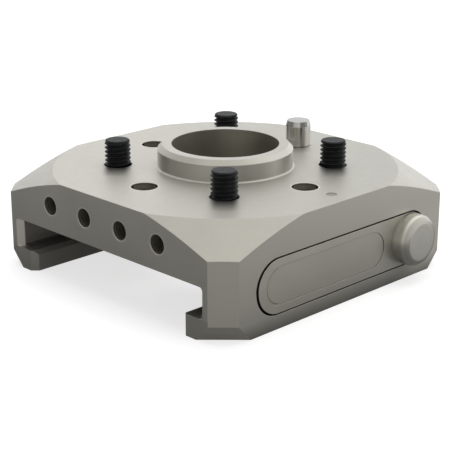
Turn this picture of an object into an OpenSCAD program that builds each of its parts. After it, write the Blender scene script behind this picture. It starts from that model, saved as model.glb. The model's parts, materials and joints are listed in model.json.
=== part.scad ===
// Robot-side half of a manual tool changer.
// The mating face bolts to a 50 mm robot flange. A tool plate slides into the T-shaped slot below,
// where the pin of a sprung rocker lever locks it.
// The mating face lies at z = 0 with +Z towards the robot.
// +X is the lever side and -Y the open end of the slot.

/* [Body] */
// Width across the flat sides
body_w = 75; // [72:0.5:96]
// Thickness of the plate between the mating face and the slot
plate_t = 11.75; // [11.5:0.05:16]
// Radius of the flat mating face
face_r = 40; // [36:0.5:48]
// Slope of the turned cone around the mating face, in degrees below level
cone_angle = 30; // [20:1:35]
// Leg of the flats cut on the four upright corners
corner_cut = 4.5; // [3:0.25:6]
// Height of the bevels at the foot of the corners
foot_bevel_h = 3.75; // [2:0.25:4.5]
// Depth of the bevels at the foot of the corners
foot_bevel_in = 2.45; // [1:0.05:3]

/* [Robot flange] */
// Outer diameter of the pilot ring
pilot_d = 31.5; // [30:0.5:33]
// Height of the pilot ring
pilot_h = 5.2; // [4:0.1:7]
// Chamfer on the rim of the pilot ring
pilot_chamfer = 1.1; // [0.5:0.1:1.5]
// Radius at the root of the pilot ring
pilot_root_r = 0.5; // [0.3:0.1:1]
// Diameter of the bore through the middle
bore_d = 25; // [16:0.5:27]
// Circle of the screws and of the dowel holes
flange_pcd = 50; // [48:0.5:56]
// Diameter of the dowel holes and the dowel pin
dowel_d = 6; // [4:0.5:7.2]
// Length of the dowel pin
dowel_l = 16; // [12:1:17]
// Height of the dowel pin above the mating face
dowel_reach = 6.2; // [5:0.1:8]
// Length of the taper that leads in each end of the dowel pin
dowel_lead = 1.2; // [0.6:0.1:1.6]
// Slope of that taper, in degrees from the axis
dowel_lead_angle = 15; // [10:1:30]
// Depth of the relief between the pressed and the free length of the dowel pin
dowel_relief = 0.25; // [0.2:0.05:0.4]

/* [Mounting screws] */
// Thread diameter
screw_d = 6; // [5:0.5:7.2]
// Length under the head
screw_l = 12; // [10:0.5:15]
// Plate left under the heads
screw_seat_t = 6; // [5:0.25:7.2]
// Diameter of the thin shank that keeps the screws captive
screw_shank_d = 4.8; // [4:0.1:4.9]
// Clearance of the screw holes on the diameter
screw_play = 0.6; // [0.4:0.1:1]
// Diameter of the low heads
screw_head_d = 10; // [9:0.5:11]
// Room around the heads on the diameter
screw_head_play = 1; // [0.6:0.1:1.4]
// Height of the low heads
screw_head_h = 4; // [3:0.25:4.8]
// Width across the flats of the hexagon sockets
hex_w = 4; // [3:0.5:4.8]
// Depth of the hexagon sockets
hex_depth = 2.3; // [1.5:0.1:2.8]
// Chamfer on the tips
screw_tip = 0.65; // [0.4:0.05:1]

/* [Tool slot] */
// Thickness of the side walls beside the slot
wall_t = 7.4; // [7:0.1:9]
// Height of the wide part of the slot
slot_h = 7; // [6:0.1:9]
// Distance that the lips reach in from the walls
lip_w = 5; // [3:0.25:7]
// Thickness of the lips
lip_t = 4.9; // [4.5:0.1:6]
// Thickness of the wall that closes the slot
end_wall_t = 6; // [4:0.5:8]
// Chamfers on both sides of the mouth
lead_in = 1.4; // [0.5:0.1:2]
// Chamfer on the upper edge of the lips
lip_edge = 1; // [0.5:0.1:1.5]
// Radius along the corners of the wide part
slot_r = 0.9; // [0.3:0.1:1.2]
// Radius that the cutter leaves at the closed end
slot_end_r = 6; // [3:0.5:7]

/* [Air ports] */
// Core diameter of the M5 ports
port_d = 4.2; // [3.5:0.1:5]
// Distance between the ports
port_pitch = 12; // [11:0.5:14.5]
// Distance of the ports below the mating face
port_drop = 5.9; // [4:0.1:7]
// Depth of the ports
port_depth = 11; // [10:0.25:12]
// Countersink at the mouth of the ports
port_mouth = 0.1; // [0.05:0.05:0.4]
// Diameter of the ducts from the ports down to the slot
duct_d = 3; // [2:0.25:3.6]
// Distance of the ducts behind the front face
duct_inset = 7.5; // [7:0.25:9]
// Inner diameter of the face seals
seal_bore_d = 4; // [3.5:0.25:5]
// Section diameter of the face seals
seal_section_d = 1.2; // [1:0.1:1.5]
// Height that the face seals stand out of the slot's ceiling
seal_proud = 0.35; // [0.2:0.05:0.5]
// Radial room around the face seals
seal_play = 0.1; // [0.05:0.05:0.3]

/* [Lever] */
// Width of the lever
lever_w = 12.1; // [10:0.1:12.6]
// Distance of the lever's middle line below the slot's ceiling
lever_below = 2.3; // [2.1:0.05:3.5]
// Length from the pivot to the pressed end
press_arm = 27.35; // [22:0.05:28]
// Length from the pivot to the knob end
knob_arm = 27.6; // [22:0.05:28]
// Thickness of the pressed arm
press_t = 2.6; // [2.2:0.1:3.2]
// Thickness of the knob arm
knob_arm_t = 3.5; // [3:0.1:4]
// Gap above and below the lever
lever_gap = 0.3; // [0.2:0.05:0.6]
// Gap at the pressed end, where the corner swings outwards
press_end_gap = 0.7; // [0.6:0.05:1]
// Gap at the knob end
knob_end_gap = 0.45; // [0.3:0.05:0.8]
// Gap between the knob arm and its stop at rest
rest_gap = 0.2; // [0.15:0.05:0.3]
// Web left between the deep end of the pocket and the slot
pocket_web = 1; // [0.6:0.1:1.5]
// Width of the label recess
label_w = 8.6; // [6:0.1:9]
// Length of the label recess
label_l = 37.9; // [24:0.1:38]
// Depth of the label recess
label_depth = 0.15; // [0.1:0.05:0.5]
// Distance of the label recess from the pressed end
label_inset = 2.4; // [1.5:0.1:4]

/* [Pivot] */
// Diameter of the pivot pin
pivot_d = 2.5; // [2:0.1:3]
// Radial running clearance of the lever on the pin
pivot_fit = 0.05; // [0.02:0.01:0.1]
// Wall of the lug around the pin
lug_t = 0.6; // [0.5:0.05:0.8]
// Gap around the lug
lug_gap = 0.2; // [0.15:0.05:0.3]
// Web left between the lug's groove and the slot
pivot_web = 0.5; // [0.4:0.05:0.8]
// Depth of the pin's top below the mating face
pivot_sunk = 0.1; // [0.05:0.05:0.5]
// Metal left below the pin's blind hole
pivot_floor = 1.2; // [0.8:0.1:2]

/* [Knob and lock pin] */
// Step between the lever's edge and the knob's rim
knob_inset = 0.05; // [0:0.05:1]
// Height of the knob above the lever
knob_h = 4; // [3:0.1:6]
// Rounding of the knob's rim
knob_round = 1.9; // [1:0.1:2.5]
// Diameter of the lock pin
lock_d = 3.5; // [3:0.1:4.2]
// Reach of the lock pin into the slot
lock_reach = 2.6; // [2:0.1:3]
// Length of the lock pin's tapered tip
lock_tip = 1.2; // [0.8:0.1:1.6]
// Slope of the tip, in degrees from the axis
lock_tip_angle = 30; // [15:5:40]
// Radial room around the lock pin in the side wall
lock_play = 0.3; // [0.2:0.05:0.4]
// Sideways room for the swing of the lock pin
lock_swing = 0.55; // [0.5:0.05:0.8]
// Diameter of the threaded stud that holds the knob
stud_d = 2.5; // [2:0.5:2.5]
// Length of the stud inside the knob
stud_l = 2.8; // [2:0.1:3]
// Lever wall that the knob and the lock pin clamp
clamp_t = 1.5; // [1:0.1:2]

/* [Return spring] */
// Outer diameter
spring_d = 5; // [4:0.1:5.5]
// Wire diameter
wire_d = 0.5; // [0.4:0.05:0.6]
// Number of turns
spring_turns = 4; // [3:0.1:4.2]
// Closed turns at each end
closed_turns = 0.9; // [0.5:0.1:1]
// Distance from the pivot
spring_arm = 15; // [12:0.5:18]
// Depth of the spring's seat in the lever
spring_seat = 1.1; // [0.8:0.1:1.3]
// Radial room around the spring in its seat
spring_play = 0.4; // [0.3:0.05:0.5]

/* [Hidden] */

$fn = 96;
eps = 0.01;
over = 1;
closed_pitch = 1.02;
wire_steps = 20;

half_w = body_w / 2;
body_h = plate_t + slot_h + lip_t;
ceiling_z = -plate_t;
lip_z = ceiling_z - slot_h;
corner_k = (body_w - corner_cut) / sqrt(2);
far_r = body_w;

slot_half = half_w - wall_t;
neck_half = slot_half - lip_w;
slot_end_y = half_w - end_wall_t;

flange_r = flange_pcd / 2;
screw_xy = flange_r / sqrt(2);
screw_places = [[-screw_xy, -screw_xy], [screw_xy, -screw_xy], [screw_xy, screw_xy], [-screw_xy, screw_xy]];
screw_hole_d = screw_d + screw_play;
head_bore_d = screw_head_d + screw_head_play;

port_count = 4;
drill_point = 118;
seal_ring_r = (seal_bore_d + seal_section_d) / 2;
seal_seat_r = seal_bore_d / 2 + seal_section_d + seal_play;
seal_seat_depth = seal_section_d - seal_proud;
duct_y = -half_w + duct_inset;

lever_r = lever_w / 2;
lever_drop = plate_t + lever_below;
pocket_r = lever_r + lever_gap;
pocket_floor_x = slot_half + pocket_web;
press_back_x = half_w - press_t;
knob_back_x = half_w - knob_arm_t;
lug_r = pivot_d / 2 + pivot_fit + lug_t;
groove_r = lug_r + lug_gap;
pivot_x = slot_half + pivot_web + groove_r;
pivot_bottom_z = -body_h + pivot_floor;
knob_y = knob_arm - lever_r;
label_r = label_w / 2;
label_start = -press_arm + label_inset + label_r;
label_end = -press_arm + label_inset + label_l - label_r;

clamp_x = half_w - clamp_t;
lock_tip_x = slot_half - lock_reach;
spring_seat_x = press_back_x + spring_seat;
spring_l = spring_seat_x - pocket_floor_x;

// Round-ended bar from y0 to y1 between the centres of its ends, lying along Y and reaching from x0 to x1
module side_bar(y0, y1, r, x0, x1) {
    translate([x0, 0, -lever_drop])
        rotate([90, 0, 90])
            linear_extrude(x1 - x0) {
                translate([y0, 0]) circle(r);
                translate([y1, 0]) circle(r);
                translate([y0, -r]) square([y1 - y0, 2 * r]);
            }
}

// Cylinder along +X from x0, on the lever's middle line
module side_pin(y, r, x0, x1) {
    translate([x0, y, -lever_drop])
        rotate([0, 90, 0])
            cylinder(r = r, h = x1 - x0);
}

// Rectangle whose two far corners are rounded, seen from above
module round_ended(half, y0, y1, r) {
    translate([-half, y0]) square([2 * half, y1 - r - y0]);
    translate([-half + r, y0]) square([2 * (half - r), y1 - y0]);
    for (side = [-1, 1])
        translate([side * (half - r), y1 - r]) circle(r);
}

// Rectangle with four rounded corners, standing upright and drawn along Y
module round_tunnel(half, z0, z1, r, y0, y1) {
    translate([0, y1, 0])
        rotate([90, 0, 0])
            linear_extrude(y1 - y0) {
                translate([-half, z0 + r]) square([2 * half, z1 - z0 - 2 * r]);
                translate([-half + r, z0]) square([2 * (half - r), z1 - z0]);
                for (side = [-1, 1], z = [z0 + r, z1 - r])
                    translate([side * (half - r), z]) circle(r);
            }
}

// Mouth that narrows from half + lead_in at the front face to half
module mouth_plan(half) {
    polygon([
        [-half - lead_in - over, -half_w - over], [half + lead_in + over, -half_w - over],
        [half, -half_w + lead_in], [-half, -half_w + lead_in]
    ]);
}

// Diagonal prism that cuts two opposite corners and bevels their feet
module corner_prism(turn) {
    foot_k = corner_k - foot_bevel_in;
    bevel_z = -body_h + foot_bevel_h;
    rotate([0, 0, turn])
        rotate([90, 0, 0])
            linear_extrude(2 * far_r, center = true)
                polygon([
                    [-foot_k, -body_h], [foot_k, -body_h], [corner_k, bevel_z],
                    [corner_k, over], [-corner_k, over], [-corner_k, bevel_z]
                ]);
}

// Square block with its turned top and cut corners
module blank() {
    intersection() {
        translate([-half_w, -half_w, -body_h]) cube([body_w, body_w, body_h]);
        rotate_extrude($fn = 180)
            polygon([
                [0, -body_h], [far_r, -body_h], [far_r, -(far_r - face_r) * tan(cone_angle)],
                [face_r, 0], [0, 0]
            ]);
        corner_prism(45);
        corner_prism(-45);
    }
}

// Ring that centres the changer in the robot's flange, with a radius at its root
module pilot_ring() {
    pilot_r = pilot_d / 2;
    rotate_extrude($fn = 180) {
        difference() {
            square([pilot_r + pilot_root_r, pilot_root_r]);
            translate([pilot_r + pilot_root_r, pilot_root_r]) circle(pilot_root_r);
        }
        polygon([
            [0, -over], [pilot_r, -over], [pilot_r, pilot_h - pilot_chamfer],
            [pilot_r - pilot_chamfer, pilot_h], [0, pilot_h]
        ]);
    }
}

// Everything milled from the front and from below for the tool plate
module tool_slot() {
    intersection() {
        round_tunnel(slot_half, lip_z, ceiling_z, slot_r, -half_w - over, half_w);
        translate([0, 0, lip_z])
            linear_extrude(slot_h) round_ended(slot_half, -half_w - over, slot_end_y, slot_end_r);
    }
    intersection() {
        round_tunnel(slot_half + lead_in, lip_z, ceiling_z, slot_r, -half_w - over, -half_w + lead_in);
        translate([0, 0, lip_z])
            linear_extrude(slot_h) mouth_plan(slot_half);
    }
    translate([0, 0, -body_h - over])
        linear_extrude(body_h + over + lip_z + eps) {
            round_ended(neck_half, -half_w - over, slot_end_y, slot_end_r);
            mouth_plan(neck_half);
        }
    intersection() {
        translate([0, slot_end_y, 0])
            rotate([90, 0, 0])
                linear_extrude(slot_end_y + half_w + over)
                    polygon([
                        [-neck_half - lip_edge, lip_z + eps], [-neck_half, lip_z - lip_edge],
                        [neck_half, lip_z - lip_edge], [neck_half + lip_edge, lip_z + eps]
                    ]);
        translate([0, 0, -body_h])
            linear_extrude(body_h)
                round_ended(neck_half + lip_edge, -half_w - over, slot_end_y, slot_end_r);
    }
}

// Threaded port in the front face with the duct that turns down to the slot
module air_port(x) {
    tip_h = port_d / 2 / tan(drill_point / 2);
    translate([x, -half_w, -port_drop])
        rotate([-90, 0, 0]) {
            cylinder(d = port_d, h = port_depth);
            translate([0, 0, port_depth]) cylinder(d1 = port_d, d2 = 0, h = tip_h);
            translate([0, 0, -eps]) cylinder(d1 = port_d + 2 * port_mouth, d2 = port_d, h = port_mouth + eps);
        }
    translate([x, duct_y, ceiling_z - over]) {
        cylinder(d = duct_d, h = plate_t - port_drop + over);
        cylinder(r = seal_seat_r, h = seal_seat_depth + over);
    }
}

// Pocket for the lever: shallow behind the knob arm, deep behind the pressed arm, grooved around the lug
module lever_pocket() {
    y0 = -press_arm - press_end_gap + pocket_r;
    y1 = knob_arm + knob_end_gap - pocket_r;
    intersection() {
        side_bar(y0, y1, pocket_r, slot_half, half_w + over);
        translate([0, 0, -body_h])
            linear_extrude(body_h) {
                translate([knob_back_x - rest_gap, -half_w]) square([knob_arm_t + rest_gap + over, body_w]);
                translate([pocket_floor_x, -half_w]) square([half_w - pocket_floor_x, half_w]);
                translate([pivot_x, 0]) circle(groove_r);
                translate([pivot_x, 0]) square([half_w - pivot_x, groove_r]);
            }
    }
}

// Slotted hole in the side wall that leaves the lock pin room to swing
module lock_hole() {
    r = lock_d / 2 + lock_play;
    x1 = knob_back_x;
    side_pin(knob_y, r, slot_half - over, x1);
    side_pin(knob_y + lock_swing, r, slot_half - over, x1);
    translate([slot_half - over, knob_y, -lever_drop - r])
        cube([x1 - slot_half + over, lock_swing, 2 * r]);
}

module body() {
    color("#a9a59b")
    difference() {
        union() {
            blank();
            pilot_ring();
        }
        tool_slot();
        lever_pocket();
        lock_hole();
        translate([0, 0, ceiling_z - over]) cylinder(d = bore_d, h = plate_t + pilot_h + 2 * over, $fn = 180);
        for (turn = [0, 90, 180, 270])
            rotate([0, 0, turn])
                translate([flange_r, 0, ceiling_z - over]) cylinder(d = dowel_d, h = plate_t + 2 * over);
        for (place = screw_places)
            translate([place.x, place.y, ceiling_z - over]) {
                cylinder(d = screw_hole_d, h = plate_t + 2 * over);
                cylinder(d = head_bore_d, h = plate_t - screw_seat_t + over);
            }
        for (i = [0 : port_count - 1])
            air_port((i - (port_count - 1) / 2) * port_pitch);
        translate([pivot_x, 0, pivot_bottom_z]) cylinder(d = pivot_d, h = -pivot_bottom_z + over);
    }
}

module lever() {
    color("#a5a197")
    difference() {
        intersection() {
            side_bar(-press_arm + lever_r, knob_y, lever_r, pivot_x - lug_r, half_w);
            translate([0, 0, -body_h])
                linear_extrude(body_h) {
                    translate([press_back_x, -press_arm]) square([press_t, press_arm + eps]);
                    translate([knob_back_x, 0]) square([knob_arm_t, knob_arm]);
                    translate([pivot_x, 0]) circle(lug_r);
                    translate([pivot_x, -lug_r]) square([half_w - pivot_x, 2 * lug_r]);
                }
        }
        translate([pivot_x, 0, -body_h]) cylinder(r = pivot_d / 2 + pivot_fit, h = body_h);
        side_bar(label_start, label_end, label_r, half_w - label_depth, half_w + over);
        side_pin(-spring_arm, spring_d / 2 + spring_play, press_back_x - over, spring_seat_x);
        side_pin(knob_y, lock_d / 2, knob_back_x - over, clamp_x);
        side_pin(knob_y, stud_d / 2, knob_back_x - over, half_w + over);
    }
}

module knob() {
    knob_r = lever_r - knob_inset;
    color("#aba79d")
    translate([half_w, knob_y, -lever_drop])
        rotate([0, 90, 0])
            difference() {
                rotate_extrude() {
                    square([knob_r - knob_round, knob_h]);
                    square([knob_r, knob_h - knob_round]);
                    translate([knob_r - knob_round, knob_h - knob_round])
                        intersection() {
                            circle(knob_round);
                            square(knob_round);
                        }
                }
                translate([0, 0, -over]) cylinder(d = stud_d, h = stud_l + over);
            }
}

// Hardened pin with a tapered tip, a shoulder behind the lever and a stud that screws into the knob
module lock_pin() {
    tip_r = lock_d / 2 - lock_tip * tan(lock_tip_angle);
    color("#8c8d8f")
    union() {
        translate([lock_tip_x, knob_y, -lever_drop])
            rotate([0, 90, 0])
                cylinder(r1 = tip_r, r2 = lock_d / 2, h = lock_tip);
        side_pin(knob_y, lock_d / 2, lock_tip_x + lock_tip, clamp_x);
        side_pin(knob_y, stud_d / 2, clamp_x - over, half_w + stud_l);
    }
}

module pivot_pin() {
    color("#8c8d8f")
    translate([pivot_x, 0, pivot_bottom_z])
        cylinder(d = pivot_d, h = -pivot_bottom_z - pivot_sunk);
}

// Height of the wire's centre after a number of turns: flat at the closed ends, open between them
function spring_rise(turn) =
    let (lift = wire_d * closed_pitch,
         open_turns = spring_turns - 2 * closed_turns,
         open_pitch = (spring_l - wire_d - 2 * closed_turns * lift) / open_turns)
    wire_d / 2
    + lift * min(turn, closed_turns)
    + open_pitch * min(max(turn - closed_turns, 0), open_turns)
    + lift * max(turn - closed_turns - open_turns, 0);

// Round wire swept along the coil, as rings of points joined into one closed skin
module return_spring() {
    sides = 8;
    steps = round(spring_turns * wire_steps);
    coil_r = (spring_d - wire_d) / 2;
    rings = [
        for (i = [0 : steps])
            let (turn = spring_turns * i / steps, a = 360 * turn, x = spring_rise(turn))
            for (s = [0 : sides - 1])
                let (b = 360 * s / sides, r = coil_r + wire_d / 2 * cos(b))
                [x + wire_d / 2 * sin(b), r * cos(a), r * sin(a)]
    ];
    skin = [
        for (i = [0 : steps - 1], s = [0 : sides - 1])
            let (t = (s + 1) % sides, p = i * sides, q = p + sides)
            [p + s, q + s, q + t, p + t]
    ];
    start_cap = [for (s = [0 : sides - 1]) s];
    end_cap = [for (s = [sides - 1 : -1 : 0]) steps * sides + s];
    color("#9a9b9d")
    translate([pocket_floor_x, -spring_arm, -lever_drop])
        polyhedron(rings, concat(skin, [start_cap, end_cap]));
}

// Ground pin with a narrow relief where it leaves the mating face
module dowel_pin() {
    dowel_r = dowel_d / 2;
    lead_r = dowel_r - dowel_lead * tan(dowel_lead_angle);
    relief_above = 0.1;
    relief_below = 0.4;
    relief_end = dowel_l - dowel_reach + relief_above;
    relief_start = dowel_l - dowel_reach - relief_below;
    color("#b9b9ba")
    translate([0, flange_r, dowel_reach - dowel_l])
        rotate_extrude()
            polygon([
                [0, 0], [lead_r, 0], [dowel_r, dowel_lead],
                [dowel_r, relief_start], [dowel_r - dowel_relief, relief_start],
                [dowel_r - dowel_relief, relief_end], [dowel_r, relief_end],
                [dowel_r, dowel_l - dowel_lead], [lead_r, dowel_l], [0, dowel_l]
            ]);
}

// Captive low-head socket screw, pushed up through the plate from the slot and threaded only above it
module mounting_screw(i) {
    screw_r = screw_d / 2;
    shank_r = screw_shank_d / 2;
    head_r = screw_head_d / 2;
    head_edge = 0.4;
    color("#25272a")
    translate([screw_places[i].x, screw_places[i].y, -screw_seat_t])
        difference() {
            rotate_extrude()
                polygon([
                    [0, -screw_head_h], [head_r - head_edge, -screw_head_h],
                    [head_r, -screw_head_h + head_edge], [head_r, 0],
                    [shank_r, 0], [shank_r, screw_seat_t], [screw_r, screw_seat_t],
                    [screw_r, screw_l - screw_tip], [screw_r - screw_tip, screw_l], [0, screw_l]
                ]);
            translate([0, 0, -screw_head_h - over])
                cylinder(d = hex_w / cos(30), h = hex_depth + over, $fn = 6);
        }
}

module port_seal(i) {
    color("#1c1c1c")
    translate([(i - (port_count - 1) / 2) * port_pitch, duct_y, ceiling_z - seal_proud + seal_section_d / 2])
        rotate_extrude()
            translate([seal_ring_r, 0]) circle(d = seal_section_d, $fn = 32);
}

body();
lever();
knob();
lock_pin();
pivot_pin();
return_spring();
dowel_pin();
mounting_screw(0);  // mounting_screw_1
mounting_screw(1);  // mounting_screw_2
mounting_screw(2);  // mounting_screw_3
mounting_screw(3);  // mounting_screw_4
port_seal(0);  // port_seal_1
port_seal(1);  // port_seal_2
port_seal(2);  // port_seal_3
port_seal(3);  // port_seal_4
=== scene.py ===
import json
import math

import bmesh
import bpy
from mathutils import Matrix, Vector


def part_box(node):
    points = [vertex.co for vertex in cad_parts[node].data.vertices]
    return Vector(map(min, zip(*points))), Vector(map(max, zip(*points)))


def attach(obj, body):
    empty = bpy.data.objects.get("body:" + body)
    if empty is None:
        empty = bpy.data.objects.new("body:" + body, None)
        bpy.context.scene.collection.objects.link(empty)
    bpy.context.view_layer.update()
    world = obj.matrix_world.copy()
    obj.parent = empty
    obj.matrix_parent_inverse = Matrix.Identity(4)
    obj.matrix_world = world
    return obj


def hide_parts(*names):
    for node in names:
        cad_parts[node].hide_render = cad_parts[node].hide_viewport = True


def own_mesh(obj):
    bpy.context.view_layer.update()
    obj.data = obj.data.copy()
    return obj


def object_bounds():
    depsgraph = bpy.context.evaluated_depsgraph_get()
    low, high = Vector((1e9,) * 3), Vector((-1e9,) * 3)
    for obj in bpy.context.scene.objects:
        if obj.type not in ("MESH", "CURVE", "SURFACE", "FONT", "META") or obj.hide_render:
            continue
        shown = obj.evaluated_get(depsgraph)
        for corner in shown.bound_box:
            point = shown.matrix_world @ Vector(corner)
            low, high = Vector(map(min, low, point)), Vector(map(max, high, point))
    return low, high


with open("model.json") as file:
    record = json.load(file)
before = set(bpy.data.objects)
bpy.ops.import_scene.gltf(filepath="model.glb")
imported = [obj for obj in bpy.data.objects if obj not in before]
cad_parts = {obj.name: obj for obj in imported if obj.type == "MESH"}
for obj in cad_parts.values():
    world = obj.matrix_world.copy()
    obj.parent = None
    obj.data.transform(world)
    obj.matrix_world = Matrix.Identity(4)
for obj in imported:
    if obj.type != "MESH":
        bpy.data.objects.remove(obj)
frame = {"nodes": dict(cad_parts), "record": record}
cad_box = [list(map(float, c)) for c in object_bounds()]

# ---------------------------------------------------------------- sizes and places, in metres

MM = 0.001
HAIR = 0.01 * MM  # how far a mask reaches past the flat surface that it is for

MOUNTS = {mount["name"]: mount for mount in frame["record"]["mounts"]}


def mount_place(name):
    return Vector(MOUNTS[name]["pos_m"])


def mount_radius(name):
    return MOUNTS[name]["dims"]["r_mm"] * MM


def middle_of(node):
    low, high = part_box(node)
    return (low + high) / 2


body_low, body_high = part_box("body")
SIDE = body_high.x  # half the width of the square body
PILOT_TOP = body_high.z
PILOT_R = mount_radius("pilot")
BORE_R = mount_radius("centre_bore")
HOLE_R = mount_radius("front_dowel_hole")
HOLE_OUT = mount_place("lever_side_dowel_hole").x  # from the middle of the face to a dowel hole
PORT_R = mount_radius("air_port_1")
PORT_Z = mount_place("air_port_1").z
PORT_PITCH = mount_place("air_port_2").x - mount_place("air_port_1").x
LEVER_Z = middle_of("lever").z

# These repeat part.scad, because the frame doesn't give them
CORNER_CUT = 4.5 * MM
FOOT_BEVEL_Z = body_low.z + 3.75 * MM
CEILING_Z = -11.75 * MM
LIP_TOP_Z = CEILING_Z - 7.0 * MM
SLOT_HALF = SIDE - 7.4 * MM
NECK_HALF = SLOT_HALF - 5.0 * MM
SLOT_END_Y = SIDE - 6.0 * MM
LEAD_IN = 1.4 * MM
POCKET_FLOOR_X = SLOT_HALF + 1.0 * MM
POCKET_R = 6.35 * MM
POCKET_RUN = 21.70 * MM  # half the straight length of the lever's pocket
LABEL_X = SIDE - 0.15 * MM  # floor of the recess in the lever
LABEL_R = 4.3 * MM
LABEL_LINE = (-20.65 * MM, 8.65 * MM)  # the straight length of that recess


def add_object(name, data):
    obj = bpy.data.objects.new(name, data)
    bpy.context.collection.objects.link(obj)
    return obj


def look_at(obj, place, aim):
    obj.location = place
    obj.rotation_mode = "QUATERNION"
    obj.rotation_quaternion = (Vector(aim) - Vector(place)).to_track_quat("-Z", "Y")


# ---------------------------------------------------------------- camera

CAMERA_PLACE = Vector((209.932, -206.467, 85.180)) * MM
CAMERA_AIM = Vector((-0.050, -0.051, -14.940)) * MM

camera = add_object("camera", bpy.data.cameras.new("camera"))
bpy.context.scene.camera = camera
camera.data.lens = 105.16
camera.data.sensor_width = 36.0
camera.data.clip_start = 0.01
camera.data.clip_end = 50.0
look_at(camera, CAMERA_PLACE, CAMERA_AIM)


# ---------------------------------------------------------------- node helpers

def rgb(r, g, b, share=1.0):
    return (r * share, g * share, b * share, 1.0)


class Nodes:
    """A node tree, with short names for the nodes used here. A mask is 1 inside its region and 0 outside."""

    def __init__(self, tree):
        self.tree = tree

    def node(self, kind, inputs=None, **settings):
        n = self.tree.nodes.new(kind)
        for key, value in settings.items():
            setattr(n, key, value)
        for key, value in (inputs or {}).items():
            self.put(n.inputs[key], value)
        return n

    def put(self, socket, value):
        if isinstance(value, bpy.types.NodeSocket):
            self.tree.links.new(value, socket)
        else:
            socket.default_value = value

    def math(self, operation, a, b=0.0):
        return self.node("ShaderNodeMath", {0: a, 1: b}, operation=operation).outputs[0]

    def plus(self, a, b):
        return self.math("ADD", a, b)

    def minus(self, a, b):
        return self.math("SUBTRACT", a, b)

    def times(self, a, b):
        return self.math("MULTIPLY", a, b)

    def absolute(self, a):
        return self.math("ABSOLUTE", a)

    def length(self, a, b):
        return self.math("SQRT", self.plus(self.times(a, a), self.times(b, b)))

    def above(self, value, level):
        return self.math("GREATER_THAN", value, level)

    def below(self, value, level):
        return self.math("LESS_THAN", value, level)

    def between(self, value, low, high):
        return self.times(self.above(value, low), self.below(value, high))

    def all_of(self, *masks):
        product = masks[0]
        for mask in masks[1:]:
            product = self.times(product, mask)
        return product

    def vector(self, operation, a, b=(0.0, 0.0, 0.0)):
        return self.node("ShaderNodeVectorMath", {0: a, 1: b}, operation=operation).outputs

    def parts(self, vector):
        outputs = self.node("ShaderNodeSeparateXYZ", {"Vector": vector}).outputs
        return outputs["X"], outputs["Y"], outputs["Z"]

    def span(self, value, low, high, to_low=0.0, to_high=1.0, smooth=False):
        """to_low where value is low, to_high where it is high, and between them in between."""
        n = self.node("ShaderNodeMapRange", {"Value": value, "From Min": low, "From Max": high,
                                             "To Min": to_low, "To Max": to_high})
        n.interpolation_type = "SMOOTHSTEP" if smooth else "LINEAR"
        return n.outputs["Result"]

    def mix(self, share, a, b):
        color_a, color_b, result = 6, 7, 2  # places of the node's colour sockets
        n = self.node("ShaderNodeMix", {"Factor": share, color_a: a, color_b: b}, data_type="RGBA")
        return n.outputs[result]

    def fade(self, value, band, first, last, smooth=False):
        """Colour that turns from first to last where value goes through the band."""
        return self.mix(self.span(value, *band, smooth=smooth), first, last)


class Material(Nodes):
    """A Principled material that follows the object's own coordinates. Its colour is painted in layers."""

    def __init__(self, name):
        self.mat = bpy.data.materials.new(name)
        self.mat.use_nodes = True
        super().__init__(self.mat.node_tree)
        self.bsdf = self.tree.nodes["Principled BSDF"]
        coords = self.node("ShaderNodeTexCoord").outputs
        self.place = coords["Object"]
        self.x, self.y, self.z = self.parts(self.place)
        self.facing = self.parts(coords["Normal"])
        self.base = None
        self.rough = None
        self.normal = None

    def paint(self, mask, color):
        """Lays a colour over the layers so far where the mask is 1."""
        self.base = self.mix(mask, self.base, color)

    def noise(self, scale, detail=2.0, roughness=0.5, place=None):
        n = self.node("ShaderNodeTexNoise", {"Vector": place or self.place, "Scale": scale, "Detail": detail,
                                             "Roughness": roughness})
        return n.outputs["Fac"]

    def bump(self, height, strength, distance):
        """Adds relief to the normal so far."""
        inputs = {"Height": height, "Strength": strength, "Distance": distance}
        if self.normal is not None:
            inputs["Normal"] = self.normal
        self.normal = self.node("ShaderNodeBump", inputs).outputs["Normal"]

    def round_edges(self, radius):
        """Turns the normal softly over each edge, and returns a mask of the edges."""
        sharpest, softest = 0.93, 0.999  # cosine of the turn, on an edge and on a flat
        self.normal = self.node("ShaderNodeBevel", {"Radius": radius}, samples=6).outputs["Normal"]
        flat = self.node("ShaderNodeNewGeometry").outputs["Normal"]
        turn = self.vector("DOT_PRODUCT", self.normal, flat)["Value"]
        return self.span(turn, softest, sharpest, smooth=True)

    def around(self, tone, stops):
        """Colour that follows the angle about the Z axis. A stop is its degrees and its share of tone."""
        angle = self.math("ARCTAN2", self.y, self.x)
        n = self.node("ShaderNodeValToRGB", {"Fac": self.span(angle, -math.pi, math.pi)})
        points = n.color_ramp.elements
        while len(points) < len(stops):
            points.new(0.5)
        for point, (degrees, share) in zip(points, stops):
            point.position = (degrees + 180.0) / 360.0
            point.color = rgb(*tone, share)
        return n.outputs["Color"]

    def from_line(self, low_y, high_y):
        """Distance, seen from the lever side, from the line at the lever's height between two values of y."""
        nearest = self.math("MINIMUM", self.math("MAXIMUM", self.y, low_y), high_y)
        return self.length(self.minus(self.y, nearest), self.minus(self.z, LEVER_Z))

    def finish(self, **constants):
        self.put(self.bsdf.inputs["Base Color"], self.base)
        self.put(self.bsdf.inputs["Roughness"], self.rough)
        self.put(self.bsdf.inputs["Normal"], self.normal)
        for key, value in constants.items():
            self.bsdf.inputs[key.replace("_", " ")].default_value = value
        return self.mat


# ---------------------------------------------------------------- blasted metal of the body and the lever

# Bands of a noise's values that a colour or a roughness turns over
NARROW = (0.35, 0.65)
WIDE = (0.3, 0.7)

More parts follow.
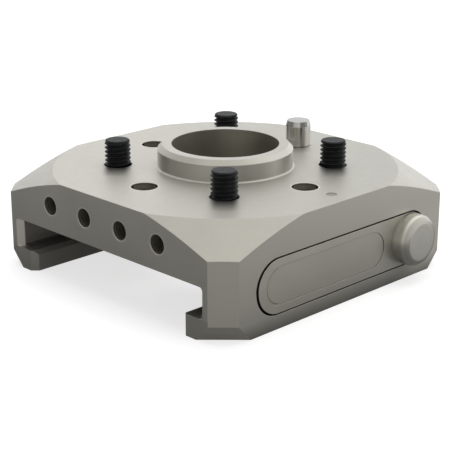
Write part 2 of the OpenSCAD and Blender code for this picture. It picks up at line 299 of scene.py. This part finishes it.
BODY_TONE = (0.430, 0.418, 0.380)
LEVER_TONE = (0.540, 0.525, 0.478)
HOLE_TONE = (0.430, 0.405, 0.335)
KNOB_TONE = (0.660, 0.645, 0.594)


def body_tone(share):
    return rgb(*BODY_TONE, share)


def hole_tone(share):
    return rgb(*HOLE_TONE, share)


def lever_tone(share):
    return rgb(*LEVER_TONE, share)


def blasted_metal(name, tone, roughness, edge_r, edge_share):
    """Bead-blasted, anodised aluminium: fine grain, faint clouding, edges rubbed smooth, with a painted
    highlight on them.
    """
    m = Material(name)
    edges = m.round_edges(edge_r)
    mottle = m.noise(scale=420.0, detail=4.0, roughness=0.6)
    m.base = m.fade(m.noise(scale=60.0, detail=3.0), NARROW, rgb(*tone, 0.96), rgb(*tone, 1.04))
    m.paint(m.span(mottle, *WIDE, 0.0, 0.35), rgb(*tone, 0.93))
    # painted highlight along the edges
    m.paint(edges, rgb(*tone, edge_share))
    m.rough = m.minus(m.span(mottle, *WIDE, roughness - 0.03, roughness + 0.04), m.times(edges, 0.08))
    grain = m.noise(scale=6500.0, detail=2.0, roughness=0.7)
    m.bump(grain, strength=0.22, distance=0.012 * MM)
    return m


def paint_ports(m):
    """Ports: threads seen as fine rings, a painted shade of their own depth, and a painted highlight on the
    rim at each mouth.
    """
    thread_pitch = 0.8 * MM
    mouth_r, rim_r = PORT_R + 0.15 * MM, PORT_R + 0.40 * MM
    rim_y, mouth_y, past_drill_y = 0.30 * MM - SIDE, 0.12 * MM - SIDE, -24.0 * MM
    from_axis = m.minus(m.math("FLOORED_MODULO", m.x, PORT_PITCH), PORT_PITCH / 2)
    radius = m.length(from_axis, m.minus(m.z, PORT_Z))
    across = m.between(m.x, -2 * PORT_PITCH, 2 * PORT_PITCH)
    inside = m.all_of(m.below(radius, mouth_r), across, m.between(m.y, mouth_y, past_drill_y))
    # painted shade inside each port
    m.paint(inside, hole_tone(0.66))
    # painted highlight on the rim at each mouth
    m.paint(m.all_of(m.between(radius, mouth_r, rim_r), across, m.below(m.y, rim_y)), body_tone(1.22))
    thread = m.math("SINE", m.times(m.y, 2 * math.pi / thread_pitch))
    m.bump(m.times(thread, inside), strength=0.25, distance=0.1 * MM)


def paint_lever_side(m):
    """Lever side: painted light and shade, lighter towards the knob's end and darker along its foot."""
    whole_y, knob_end_y, foot_end_y = (-31.0 * MM, 31.0 * MM), (18.0 * MM, 27.0 * MM), (16.0 * MM, 24.0 * MM)
    lower_z, end_z, foot_z = (-14.0 * MM, -20.4 * MM), (-6.0 * MM, -20.0 * MM), (-20.0 * MM, -23.6 * MM)
    # painted light and shade over the lever side
    tone = m.fade(m.y, whole_y, body_tone(1.05), body_tone(1.18))
    tone = m.fade(m.z, lower_z, tone, body_tone(0.97))
    knob_end = m.fade(m.z, end_z, body_tone(1.17), body_tone(1.52))
    tone = m.fade(m.y, knob_end_y, tone, knob_end, smooth=True)
    foot = m.fade(m.y, foot_end_y, body_tone(0.45), body_tone(0.70))
    tone = m.fade(m.z, foot_z, tone, foot)
    m.paint(m.above(m.x, SIDE - HAIR), tone)


def paint_pocket(m):
    """Lever pocket: painted shade on its walls and floor, and a darker painted shade along its upper edge."""
    slack, edge_slack, edge_depth = 0.05 * MM, 0.08 * MM, 0.10 * MM
    from_line = m.from_line(-POCKET_RUN, POCKET_RUN)
    depth = m.between(m.x, POCKET_FLOOR_X - slack, SIDE - slack)
    # painted shade in the pocket, and a darker painted shade on its upper edge
    m.paint(m.all_of(depth, m.below(from_line, POCKET_R + slack)), body_tone(0.12))
    edge = m.all_of(m.between(m.x, SIDE - edge_depth, SIDE + HAIR), m.below(from_line, POCKET_R + edge_slack))
    m.paint(m.all_of(edge, m.above(m.z, LEVER_Z)), body_tone(0.08))


# Shades painted round the pilot ring and in its bore, for what the photo's metal mirrors there: degrees
# about the Z axis, and share of the tone
PILOT_SIDE_STOPS = (
    (-180, 1.13), (-135, 1.20), (-120, 1.30), (-110, 0.85), (-103, 0.74), (-90, 0.84), (-75, 1.12),
    (-58, 1.27), (-40, 0.85), (-28, 0.72), (-15, 0.84), (0, 1.14), (12, 0.98), (30, 1.42), (45, 1.36),
    (90, 1.13), (180, 1.13))
PILOT_CHAMFER_STOPS = (
    (-180, 1.00), (-105, 0.97), (-90, 0.93), (-75, 0.96), (-60, 1.13), (-30, 1.08), (-15, 1.20), (0, 1.22),
    (20, 1.12), (45, 1.24), (90, 1.00), (180, 1.00))
BORE_STOPS = (
    (-180, 0.60), (-90, 0.64), (60, 0.58), (85, 0.60), (95, 0.70), (106, 0.92), (116, 1.04), (126, 0.96),
    (136, 0.78), (146, 0.58), (160, 0.50), (180, 0.60))


def paint_pilot(m, from_middle):
    """Pilot ring: painted reflections on its side and chamfer, a painted highlight at its root, its top
    painted darker towards +X and +Y. Its bore is warmer, with painted reflections and shade.
    """
    root_r, root_z = (PILOT_R + HAIR, PILOT_R + 0.27 * MM), (-HAIR, 0.52 * MM)
    bore_r, bore_z = BORE_R + 0.05 * MM, PILOT_TOP - 0.05 * MM
    outside_r = PILOT_R + 0.02 * MM
    side_r, side_z = (PILOT_R - 0.15 * MM, outside_r), (0.4 * MM, PILOT_TOP - 1.0 * MM)
    chamfer_r, chamfer_z = (PILOT_R - 1.25 * MM, outside_r), (PILOT_TOP - 1.0 * MM, PILOT_TOP - HAIR)
    # painted highlight at the root
    m.paint(m.all_of(m.between(from_middle, *root_r), m.between(m.z, *root_z)), body_tone(1.25))
    # painted reflections and shade in the warmer bore
    m.paint(m.all_of(m.below(from_middle, bore_r), m.below(m.z, bore_z)), m.around(HOLE_TONE, BORE_STOPS))
    side = m.all_of(m.between(from_middle, *side_r), m.between(m.z, *side_z))
    m.paint(side, m.around(BODY_TONE, PILOT_SIDE_STOPS))
    chamfer = m.all_of(m.between(from_middle, *chamfer_r), m.between(m.z, *chamfer_z))
    m.paint(chamfer, m.around(BODY_TONE, PILOT_CHAMFER_STOPS))
    # painted shade over the top, darker towards +X and +Y
    across_top = (-19.0 * MM, 19.0 * MM)
    top_tone = m.fade(m.plus(m.x, m.y), across_top, body_tone(1.00), body_tone(0.89))
    m.paint(m.above(m.z, PILOT_TOP - HAIR), top_tone)


def paint_mating_face(m, from_middle):
    """Mating face: painted lighter towards -X and -Y, a little rougher, with a soft painted shade by each
    upright pin.
    """
    root_out_r, across_face, rougher = PILOT_R + 0.45 * MM, (-40.0 * MM, 50.0 * MM), 0.02
    face = m.all_of(m.between(m.z, -HAIR, HAIR), m.above(from_middle, root_out_r))
    # painted light over the mating face, lighter towards -X and -Y
    m.paint(face, m.fade(m.plus(m.x, m.y), across_face, body_tone(1.07), body_tone(0.86)))
    m.rough = m.plus(m.rough, m.times(face, rougher))
    # Each pin's node, how far its shade reaches towards +X and -Y, and the shade's share of the tone
    pins = [(f"mounting_screw_{i}", 14.5 * MM, 0.12) for i in range(1, 5)] + [("dowel_pin", 11.0 * MM, 0.60)]
    starts, inner_half, outer_half = 4.2 * MM, 2.2 * MM, 4.8 * MM
    for pin, reach, share in pins:
        middle = middle_of(pin)
        dx, dy = m.minus(m.x, middle.x), m.minus(m.y, middle.y)
        ahead = m.minus(dx, dy)
        aside = m.absolute(m.plus(dx, dy))
        shade = m.all_of(m.span(ahead, reach, starts), m.span(aside, outer_half, inner_half, smooth=True))
        # painted shade in front of each pin
        m.paint(m.all_of(face, shade, m.above(ahead, 0.0)), body_tone(share))


def paint_dowel_holes(m):
    """Empty dowel holes: warmer, with painted shade darkest at their mouths, ends and depths, and a painted
    highlight on their broken edge.
    """
    mouth_z, lit_z, deep_z, depth_z = -0.25 * MM, -0.8 * MM, -1.4 * MM, -1.9 * MM
    inside_r, inside_z = HOLE_R + 0.03 * MM, -0.2 * MM
    edge_r, edge_z = (HOLE_R, HOLE_R + 0.3 * MM), -0.35 * MM
    pin_side_y = HOLE_OUT - 5.0 * MM  # the dowel stands beyond it, so no edge is lit there
    ends = (3.3 * MM, 3.9 * MM)
    radius = m.math("MINIMUM", m.length(m.minus(m.absolute(m.x), HOLE_OUT), m.y),
                    m.length(m.x, m.minus(m.absolute(m.y), HOLE_OUT)))
    # painted shade in the holes, darkest at the mouth, the depth and the ends
    lit = m.math("MINIMUM", m.span(m.z, mouth_z, lit_z), m.span(m.z, depth_z, deep_z))
    tone = m.mix(lit, hole_tone(0.45), hole_tone(1.00))
    to_end = m.absolute(m.minus(m.absolute(m.plus(m.x, m.y)), HOLE_OUT))
    tone = m.fade(to_end, ends, tone, hole_tone(0.08))
    m.paint(m.all_of(m.below(radius, inside_r), m.below(m.z, inside_z)), tone)
    # painted highlight on the broken edge
    edge = m.all_of(m.between(radius, *edge_r), m.above(m.z, edge_z), m.below(m.y, pin_side_y))
    m.paint(edge, body_tone(1.28))


def paint_cut_corner(m):
    """Cut corner beside the lever: painted lighter towards its foot."""
    height = (-6.0 * MM, -20.0 * MM)
    corner = m.above(m.minus(m.x, m.y), 2 * SIDE - CORNER_CUT - HAIR)
    # painted light, stronger towards the foot
    tone = m.fade(m.z, height, body_tone(1.03), body_tone(1.14))
    m.paint(m.all_of(corner, m.above(m.z, FOOT_BEVEL_Z)), tone)


def paint_slot(m):
    """Slot: lips painted a little darker in front and with a dark painted shade on top, and a painted
    highlight on the lead-in.
    """
    front_y = 0.05 * MM - SIDE
    lip_x = (NECK_HALF - 1.1 * MM, SLOT_HALF + 0.2 * MM)
    lip_z = (LIP_TOP_Z - 0.03 * MM, LIP_TOP_Z + 0.55 * MM)
    inset, inset_z = 0.04 * MM, 0.05 * MM
    far_x = m.absolute(m.x)
    # painted shade on the front of the lips
    m.paint(m.all_of(m.below(m.y, front_y), m.below(m.z, LIP_TOP_Z)), body_tone(0.84))
    # painted shade on the tops of the lips
    lip_top = m.all_of(m.between(far_x, *lip_x), m.between(m.z, *lip_z), m.below(m.y, SLOT_END_Y + 0.1 * MM))
    m.paint(lip_top, body_tone(0.45))
    # painted highlight on the lead-in
    lead_in = m.all_of(m.between(far_x, SLOT_HALF + inset, SLOT_HALF + LEAD_IN - inset),
                       m.between(m.y, inset - SIDE, LEAD_IN - inset - SIDE),
                       m.between(m.z, LIP_TOP_Z + inset_z, CEILING_Z - inset_z))
    m.paint(lead_in, body_tone(1.80))


def body_metal():
    m = blasted_metal("body_metal", BODY_TONE, roughness=0.43, edge_r=0.12 * MM, edge_share=1.15)
    from_middle = m.length(m.x, m.y)
    paint_ports(m)
    paint_lever_side(m)
    paint_pocket(m)
    paint_pilot(m, from_middle)
    paint_mating_face(m, from_middle)
    paint_dowel_holes(m)
    paint_cut_corner(m)
    paint_slot(m)
    return m.finish(Metallic=0.65)


def lever_metal():
    """Lever: painted shade on its sides and the walls of its recess, a painted shade round the recess's edge,
    and a soft painted shade beside the knob.
    """
    m = blasted_metal("lever_metal", LEVER_TONE, roughness=0.38, edge_r=0.06 * MM, edge_share=1.0)
    face_x = SIDE - HAIR
    edge_r, far_edge_r = (LABEL_R - 0.18 * MM, LABEL_R + HAIR), (LABEL_R - 0.37 * MM, LABEL_R + HAIR)
    far_end_y = LABEL_LINE[0] - 0.65 * MM
    by_knob_y, by_knob_z = (9.0 * MM, 15.0 * MM), (-15.0 * MM, -10.0 * MM)
    # painted shade on the lever's sides, and on the walls of its recess
    m.paint(m.below(m.x, LABEL_X - HAIR / 2), lever_tone(0.25))
    m.paint(m.between(m.x, LABEL_X + HAIR / 2, face_x), lever_tone(0.20))
    from_line = m.from_line(*LABEL_LINE)
    floor = m.between(m.x, LABEL_X - HAIR, LABEL_X + HAIR)
    # painted shade round the edge of the recess floor, wider at its far end
    m.paint(m.all_of(floor, m.between(from_line, *edge_r)), lever_tone(0.75))
    far_end = m.all_of(m.between(from_line, *far_edge_r), m.below(m.y, far_end_y))
    m.paint(m.all_of(floor, far_end), lever_tone(0.62))
    # soft painted shade beside the knob
    by_knob = m.all_of(m.span(m.y, *by_knob_y, smooth=True), m.span(m.z, *by_knob_z, smooth=True))
    m.paint(m.all_of(by_knob, m.above(m.x, face_x)), lever_tone(0.78))
    return m.finish(Metallic=0.9)


# ---------------------------------------------------------------- turned, ground and other materials

def knob_metal():
    """Anodised aluminium with the faint rings that turning leaves about X; painted shade on its rim, sides,
    lower side and root, and a painted highlight on its edges.
    """
    m = Material("knob_metal")
    facing_x, _, facing_z = m.facing
    face_rim, side_x = (0.965, 0.9995), (0.68, 0.38)
    low_side_x, low_side_z = (0.75, 0.35), (0.25, -0.55)
    root_x = (SIDE, SIDE + 1.1 * MM)
    along, up, out = m.parts(m.vector("SUBTRACT", m.place, middle_of("knob"))["Vector"])
    edges = m.round_edges(0.2 * MM)
    ring_place = m.node("ShaderNodeCombineXYZ", {"X": m.length(up, out), "Y": along}).outputs["Vector"]
    rings = m.noise(scale=5200.0, detail=2.0, roughness=0.6, place=ring_place)
    m.base = m.fade(rings, NARROW, rgb(*KNOB_TONE, 0.97), rgb(*KNOB_TONE, 1.03))
    # painted shade on the rim and the sides, darkest low on the side
    m.base = m.fade(facing_x, face_rim, rgb(*KNOB_TONE, 0.58), m.base, smooth=True)
    m.paint(m.span(facing_x, *side_x, smooth=True), rgb(*KNOB_TONE, 0.92))
    low_side = m.all_of(m.span(facing_x, *low_side_x, smooth=True),
                        m.span(facing_z, *low_side_z, smooth=True))
    m.paint(low_side, rgb(*KNOB_TONE, 0.62))
    # painted highlight on the edges
    m.paint(m.times(edges, 0.5), rgb(*KNOB_TONE, 1.3))
    # painted shade at the root
    m.base = m.fade(m.x, root_x, rgb(*KNOB_TONE, 0.72), m.base, smooth=True)
    m.rough = m.span(rings, *WIDE, 0.29, 0.35)
    grain = m.noise(scale=6500.0, detail=2.0, roughness=0.7)
    m.bump(grain, strength=0.15, distance=0.01 * MM)
    m.bump(rings, strength=0.10, distance=0.01 * MM)
    return m.finish(Metallic=0.9)


END_FACING = 0.9  # an end face looks along the pin's axis by more than this

# Painted reflection bands along an upright polished pin, by the sum of its normal's X and Y: where each one
# starts or ends
DARK_START, DARK_END = (0.10, 0.45), (0.95, 0.60)
LIGHT_START, LIGHT_END = (-0.80, -0.45), (0.26, 0.02)
SIDE_LIGHT, SIDE_DARK = (0.62, 0.95), (0.85, 1.15)
# painted light at the pin's foot
PIN_FOOT = (1.3 * MM, 0.4 * MM)  # heights between which the lighter foot fades in
TAPER_Z = 5.0 * MM  # height at which the lead-in taper starts


def dark_reflection_band(m, across):
    return m.all_of(m.span(across, *DARK_START, smooth=True), m.span(across, *DARK_END, smooth=True))


def paint_pin_reflections(m, tone):
    """Painted reflections along an upright polished pin: light and dark bands, and a painted lighter foot."""
    across = m.plus(m.facing[0], m.facing[1])
    # painted light at the foot, and painted reflection bands
    m.paint(m.span(m.z, *PIN_FOOT), rgb(*tone, 1.35))
    m.paint(dark_reflection_band(m, across), rgb(*tone, 0.66))
    m.paint(m.span(across, *SIDE_LIGHT, smooth=True), rgb(*tone, 1.42))


def paint_taper(m, tone):
    """Lead-in taper at the upright pin's top: painted darker, with its own painted reflection bands."""
    across = m.plus(m.facing[0], m.facing[1])
    taper = m.all_of(m.above(m.z, TAPER_Z), m.below(m.facing[2], END_FACING))
    light = m.all_of(m.span(across, *LIGHT_START, smooth=True), m.span(across, *LIGHT_END, smooth=True))
    m.paint(taper, rgb(*tone, 0.38))
    m.paint(m.all_of(taper, dark_reflection_band(m, across)), rgb(*tone, 0.27))
    m.paint(m.all_of(taper, light), rgb(*tone, 1.10))
    m.paint(m.all_of(taper, m.span(across, *SIDE_DARK, smooth=True)), rgb(*tone, 0.80))


def ground_steel(name, axis, tone, roughness, end_share, pin_reflections=False):
    """Hardened steel with fine grinding lines around its axis, a painted highlight on its edges, and darker
    on its end faces.
    """
    m = Material(name)
    edges = m.round_edges(0.06 * MM)
    fine, coarse = 9000.0, 40.0  # grain of the lines along the axis and round it
    stretch = [coarse, coarse, coarse]
    stretch[axis] = fine
    line_place = m.node("ShaderNodeMapping", {"Vector": m.place, "Scale": tuple(stretch)}).outputs["Vector"]
    lines = m.noise(scale=1.0, detail=3.0, roughness=0.6, place=line_place)
    m.base = m.fade(lines, WIDE, rgb(*tone, 0.97), rgb(*tone, 1.03))
    # painted highlight on the edges
    m.paint(m.times(edges, 0.4), rgb(*tone, 1.3))
    if pin_reflections:
        paint_pin_reflections(m, tone)
    m.paint(m.above(m.absolute(m.facing[axis]), END_FACING), rgb(*tone, end_share))
    if pin_reflections:
        paint_taper(m, tone)
    m.rough = m.span(lines, *WIDE, roughness - 0.03, roughness + 0.03)
    m.bump(lines, strength=0.03, distance=0.003 * MM)
    return m.finish(Metallic=1.0)


def black_steel():
    """Black-oxide steel, a little greasy, with the thread crests painted dark grey, as wear and as a painted
    highlight.
    """
    m = Material("black_steel")
    edges = m.round_edges(0.08 * MM)
    stain = m.noise(scale=900.0, detail=4.0, roughness=0.6)
    m.base = m.fade(stain, NARROW, rgb(0.016, 0.017, 0.018), rgb(0.027, 0.028, 0.029))
    # crests and edges painted grey: wear and a painted highlight
    m.paint(m.times(edges, 0.35), rgb(0.10, 0.10, 0.10))
    m.rough = m.span(stain, *WIDE, 0.34, 0.50)
    grain = m.noise(scale=9000.0, detail=2.0, roughness=0.6)
    m.bump(grain, strength=0.12, distance=0.006 * MM)
    return m.finish(Metallic=0.35, Specular_IOR_Level=0.15, Specular_Tint=rgb(0.35, 0.35, 0.36))


def seal_rubber():
    """Moulded nitrile with a fine skin texture and a faint bloom."""
    m = Material("seal_rubber")
    bloom = m.noise(scale=1500.0, detail=3.0)
    m.base = m.fade(bloom, NARROW, rgb(0.012, 0.012, 0.012), rgb(0.022, 0.022, 0.021))
    m.rough = m.span(bloom, *WIDE, 0.48, 0.62)
    m.bump(m.noise(scale=12000.0), strength=0.2, distance=0.006 * MM)
    return m.finish()


def spring_steel():
    """Drawn wire with faint die lines."""
    m = Material("spring_steel")
    lines = m.noise(scale=7000.0)
    m.base = m.fade(lines, WIDE, rgb(0.36, 0.355, 0.35), rgb(0.46, 0.455, 0.45))
    m.rough = m.span(lines, *WIDE, 0.26, 0.36)
    m.bump(lines, strength=0.08, distance=0.004 * MM)
    return m.finish(Metallic=1.0)


X_AXIS, Z_AXIS = 0, 2
rubber = seal_rubber()
LOOKS = {
    "body": body_metal(),
    "lever": lever_metal(),
    "knob": knob_metal(),
    "lock_pin": ground_steel("lock_steel", X_AXIS, (0.420, 0.415, 0.400), roughness=0.22, end_share=0.46),
    "pivot_pin": ground_steel("pivot_steel", Z_AXIS, (0.400, 0.392, 0.370), roughness=0.45, end_share=0.66),
    "dowel_pin": ground_steel("dowel_steel", Z_AXIS, (0.520, 0.512, 0.495), roughness=0.22, end_share=0.46,
                              pin_reflections=True),
}
LOOKS.update({f"port_seal_{i}": rubber for i in range(1, 5)})
for node, material in LOOKS.items():
    for material_slot in frame["nodes"][node].material_slots:
        material_slot.material = material


# ---------------------------------------------------------------- screws with real threads

THREAD_R = 3.0 * MM
THREAD_PITCH = 1.0 * MM
THREAD_DEPTH = 0.58 * MM
SHANK_R = 2.4 * MM
SHANK_L = 6.0 * MM
HEAD_H = 4.0 * MM
HEX_W = 4.0 * MM
HEX_DEPTH = 2.3 * MM
TIP_ROUND = 0.40 * MM
SIDES = 60
ROWS_PER_TURN = 14
ANGLES = [2 * math.pi * i / SIDES for i in range(SIDES)]


def clamp(value, low=0.0, high=1.0):
    return min(max(value, low), high)


def thread_radius(z, angle):
    """Radius of the thread's surface: full on its crest, and less by the thread's depth at its root."""
    crest_half, root_from = 0.07, 0.40  # distances along the screw from the crest's middle, in pitches
    away = abs((z / THREAD_PITCH - angle / (2 * math.pi)) % 1.0 - 0.5)
    return THREAD_R - THREAD_DEPTH * (1.0 - clamp((root_from - away) / (root_from - crest_half)))


def hex_radius(angle):
    part = (angle + math.pi / 6) % (math.pi / 3) - math.pi / 6
    return HEX_W / 2 / math.cos(part)


def ring(bm, radii, z):
    return [bm.verts.new((r * math.cos(a), r * math.sin(a), z)) for r, a in zip(radii, ANGLES)]


def skin(bm, rings, smooth):
    for a, b in zip(rings, rings[1:]):
        for i in range(SIDES):
            j = (i + 1) % SIDES
            face = bm.faces.new((a[i], a[j], b[j], b[i]))
            face.smooth = smooth


def cap(bm, loop, z, down=False):
    tip = bm.verts.new((0.0, 0.0, z))
    for i in range(SIDES):
        j = (i + 1) % SIDES
        bm.faces.new((loop[j], loop[i], tip) if down else (loop[i], loop[j], tip))


def finished_mesh(bm, name, material):
    bmesh.ops.recalc_face_normals(bm, faces=bm.faces)
    mesh = bpy.data.meshes.new(name)
    bm.to_mesh(mesh)
    bm.free()
    mesh.materials.append(material)
    return mesh


def socket_rings(bm):
    """Hexagon socket in the head's bottom face, from its floor out to its broken edge."""
    mouth_break, floor_share, drill_point = 0.25 * MM, 0.98, 0.5 * MM
    hexes = [hex_radius(a) for a in ANGLES]
    bottom_z = HEX_DEPTH - HEAD_H
    rings = [ring(bm, [h * floor_share for h in hexes], bottom_z), ring(bm, hexes, mouth_break - HEAD_H),
             ring(bm, [h + mouth_break for h in hexes], -HEAD_H)]
    cap(bm, rings[0], bottom_z + drill_point, down=True)
    skin(bm, rings, False)
    return rings


def thread_rings(bm, length):
    """Thread from the shank's end to the screw's tip, fading into a rounded point."""
    tip_drop = 0.15 * MM
    rows = int(round((length - SHANK_L) / THREAD_PITCH * ROWS_PER_TURN))
    rings = []
    for row in range(rows + 1):
        z = SHANK_L + (length - SHANK_L) * row / rows
        runout = clamp((z - length + 2 * TIP_ROUND) / TIP_ROUND)
        least = THREAD_R - THREAD_DEPTH + (THREAD_DEPTH - tip_drop) * runout
        past = max(0.0, z - (length - TIP_ROUND)) / TIP_ROUND
        limit = THREAD_R - tip_drop * runout - TIP_ROUND * (1 - math.sqrt(1 - past * past))
        rings.append(ring(bm, [min(max(thread_radius(z, a), least), limit) for a in ANGLES], z))
    return rings


def screw_mesh(length, head_r):
    """Captive low-head screw, standing on its head. Its seat is at z = 0 and its tip at z = length."""
    head_round, round_middle, seat_break = 0.4 * MM, 0.12 * MM, 0.15 * MM
    bm = bmesh.new()
    socket = socket_rings(bm)
    outline = ((head_r - head_round, -HEAD_H), (head_r - round_middle, round_middle - HEAD_H),
               (head_r, head_round - HEAD_H), (head_r, -seat_break), (head_r - seat_break, 0.0),
               (SHANK_R, 0.0), (SHANK_R, SHANK_L))
    outer = [socket[-1]] + [ring(bm, [r] * SIDES, z) for r, z in outline]
    skin(bm, outer, True)
    thread = [outer[-1]] + thread_rings(bm, length)
    skin(bm, thread, True)
    cap(bm, thread[-1], length)
    return finished_mesh(bm, "mounting_screw", black_steel())


SCREW_TURNS = (0.3, 1.9, 3.4, 5.1)  # radians, so that no two threads start alike

low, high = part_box("mounting_screw_1")
screw = screw_mesh(high.z - low.z - HEAD_H, (high.x - low.x) / 2)
for i, turn in zip(range(1, 5), SCREW_TURNS):
    obj = add_object(f"mounting_screw_{i}_threaded", screw)
    middle = middle_of(f"mounting_screw_{i}")
    obj.location = (middle.x, middle.y, low.z + HEAD_H)
    obj.rotation_euler = (0.0, 0.0, turn)
    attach(obj, "changer_body")
    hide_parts(f"mounting_screw_{i}")


# ---------------------------------------------------------------- return spring

WIRE_R = 0.25 * MM
SPRING_TURNS = 4.0
CLOSED_TURNS = 0.9
CLOSED_PITCH = 1.02  # of the wire's thickness
WIRE_SIDES = 12
STEPS_PER_TURN = 32


def spring_mesh(length, outer_r):
    """Coil along X from 0 to length, with closed turns at both ends."""
    closed_lift = 2 * WIRE_R * CLOSED_PITCH
    open_turns = SPRING_TURNS - 2 * CLOSED_TURNS
    open_lift = (length - 2 * WIRE_R - 2 * CLOSED_TURNS * closed_lift) / open_turns
    coil_r = outer_r - WIRE_R
    steps = int(round(SPRING_TURNS * STEPS_PER_TURN))
    bm = bmesh.new()
    loops = []
    for i in range(steps + 1):
        turn = SPRING_TURNS * i / steps
        x = WIRE_R + closed_lift * min(turn, CLOSED_TURNS)
        x += open_lift * clamp(turn - CLOSED_TURNS, 0.0, open_turns)
        x += closed_lift * max(turn - CLOSED_TURNS - open_turns, 0.0)
        angle = 2 * math.pi * turn
        loop = []
        for side in range(WIRE_SIDES):
            around = 2 * math.pi * side / WIRE_SIDES
            r = coil_r + WIRE_R * math.cos(around)
            place = (x + WIRE_R * math.sin(around), r * math.cos(angle), r * math.sin(angle))
            loop.append(bm.verts.new(place))
        loops.append(loop)
    for a, b in zip(loops, loops[1:]):
        for i in range(WIRE_SIDES):
            j = (i + 1) % WIRE_SIDES
            bm.faces.new((a[i], b[i], b[j], a[j])).smooth = True
    bm.faces.new(loops[0])
    bm.faces.new(list(reversed(loops[-1])))
    return finished_mesh(bm, "return_spring_wire", spring_steel())


low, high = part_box("return_spring")
middle = (low + high) / 2
spring = add_object("return_spring_wire", spring_mesh(high.x - low.x, (high.z - low.z) / 2))
spring.location = (low.x, middle.y, middle.z)
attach(spring, "changer_body")
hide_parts("return_spring")
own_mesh(spring)


# ---------------------------------------------------------------- floor, light and background

WHITE = rgb(1.0, 1.0, 1.0)
FLOOR_Z = cad_box[0][2] - 0.05 * MM
FLOOR_SIZE = 30.0
WORLD_LEVEL = 0.35  # what lights the object; the background seen is 1


def bare_material(name):
    mat = bpy.data.materials.new(name)
    mat.use_nodes = True
    mat.node_tree.nodes.clear()
    return mat, Nodes(mat.node_tree)


def seen_directly(n):
    """1 for camera, glossy and transmission rays, 0 for the rest."""
    path = n.node("ShaderNodeLightPath").outputs
    first = n.math("MAXIMUM", path["Is Camera Ray"], path["Is Glossy Ray"])
    return n.math("MAXIMUM", first, path["Is Transmission Ray"])


def world_place(n):
    return n.node("ShaderNodeNewGeometry").outputs["Position"]


def floor_material():
    """Pale floor that takes a shadow near the object and is plain white far from it."""
    near, far, near_level, grey = 0.3, 1.5, 0.70, 0.42
    mat, n = bare_material("floor")
    distance = n.vector("LENGTH", world_place(n))["Value"]
    level = n.times(seen_directly(n), n.span(distance, near, far, near_level, 1.0))
    glow = n.node("ShaderNodeEmission", {"Color": WHITE, "Strength": level}).outputs[0]
    lit = n.node("ShaderNodeBsdfDiffuse", {"Color": rgb(grey, grey, grey)}).outputs[0]
    both = n.node("ShaderNodeAddShader", {0: lit, 1: glow}).outputs[0]
    n.node("ShaderNodeOutputMaterial", {"Surface": both})
    return mat


bpy.ops.mesh.primitive_plane_add(size=FLOOR_SIZE, location=(0.0, 0.0, FLOOR_Z))
floor = bpy.context.object
floor.name = "floor"
floor.data.materials.append(floor_material())

world = bpy.data.worlds.new("studio")
bpy.context.scene.world = world
world.use_nodes = True
background = world.node_tree.nodes["Background"]
background.inputs["Color"].default_value = WHITE
n = Nodes(world.node_tree)
n.put(background.inputs["Strength"], n.span(seen_directly(n), 0.0, 1.0, WORLD_LEVEL))


def softbox(name, place, aim, side, power):
    """Square area light that reflections don't see."""
    light = bpy.data.lights.new(name, "AREA")
    light.shape = "SQUARE"
    light.size = side
    light.energy = power
    obj = add_object(name, light)
    look_at(obj, place, aim)
    obj.visible_glossy = False


softbox("key_softbox", place=(-0.10, 0.15, 0.60), aim=(0.0, 0.0, 0.0), side=0.7, power=4.5)
softbox("side_softbox", place=(0.75, 0.10, 0.35), aim=(0.0, 0.0, -0.01), side=0.4, power=1.2)


# A light tent that only reflections see. Its dome is brighter towards +Y. Its base is brighter towards +X,
# and dim close to the object, as a painted shadow of the object on the table.

TENT_R = 1.2
BASE_Z = FLOOR_Z + 0.02 * MM
WARM = rgb(1.0, 0.985, 0.94)
COOL = rgb(0.99, 1.0, 1.02)
COOL_WAY = (-0.4, 0.6, -0.5)


def tent_material(name, level, slope, dimmed):
    """Glow that grows along the slope, and with the distance from the object where it is dimmed."""
    near, far, near_share, far_share = 0.035, 0.30, 0.075, 0.73
    tint_band = (-0.3, 0.6)
    mat, n = bare_material(name)
    place = world_place(n)
    way = n.vector("NORMALIZE", place)["Vector"]
    strength = n.plus(n.vector("DOT_PRODUCT", way, slope)["Value"], level)
    if dimmed:
        distance = n.vector("LENGTH", place)["Value"]
        # painted shadow of the object on the tent's base, seen in reflections
        strength = n.times(strength, n.span(distance, near, far, near_share, far_share))
    tint = n.fade(n.vector("DOT_PRODUCT", way, COOL_WAY)["Value"], tint_band, WARM, COOL)
    glow = n.node("ShaderNodeEmission", {"Color": tint, "Strength": strength}).outputs[0]
    n.node("ShaderNodeOutputMaterial", {"Surface": glow})
    mat.cycles.emission_sampling = "NONE"
    return mat


def tent_part(name, material):
    """Makes the mesh that was just added a part of the tent."""
    obj = bpy.context.object
    obj.name = name
    obj.data.materials.append(material)
    obj.visible_camera = False
    obj.visible_diffuse = False
    obj.visible_transmission = False
    obj.visible_volume_scatter = False
    obj.visible_shadow = False


bpy.ops.mesh.primitive_uv_sphere_add(segments=64, ring_count=32, radius=TENT_R)
tent_part("tent_dome", tent_material("tent_dome", level=1.06, slope=(-0.05, 0.48, 0.04), dimmed=False))
bpy.ops.mesh.primitive_circle_add(vertices=64, radius=TENT_R, fill_type="NGON", location=(0.0, 0.0, BASE_Z))
tent_part("tent_base", tent_material("tent_base", level=1.44, slope=(0.52, 0.20, 0.0), dimmed=True))

bpy.context.scene.view_settings.view_transform = "Standard"
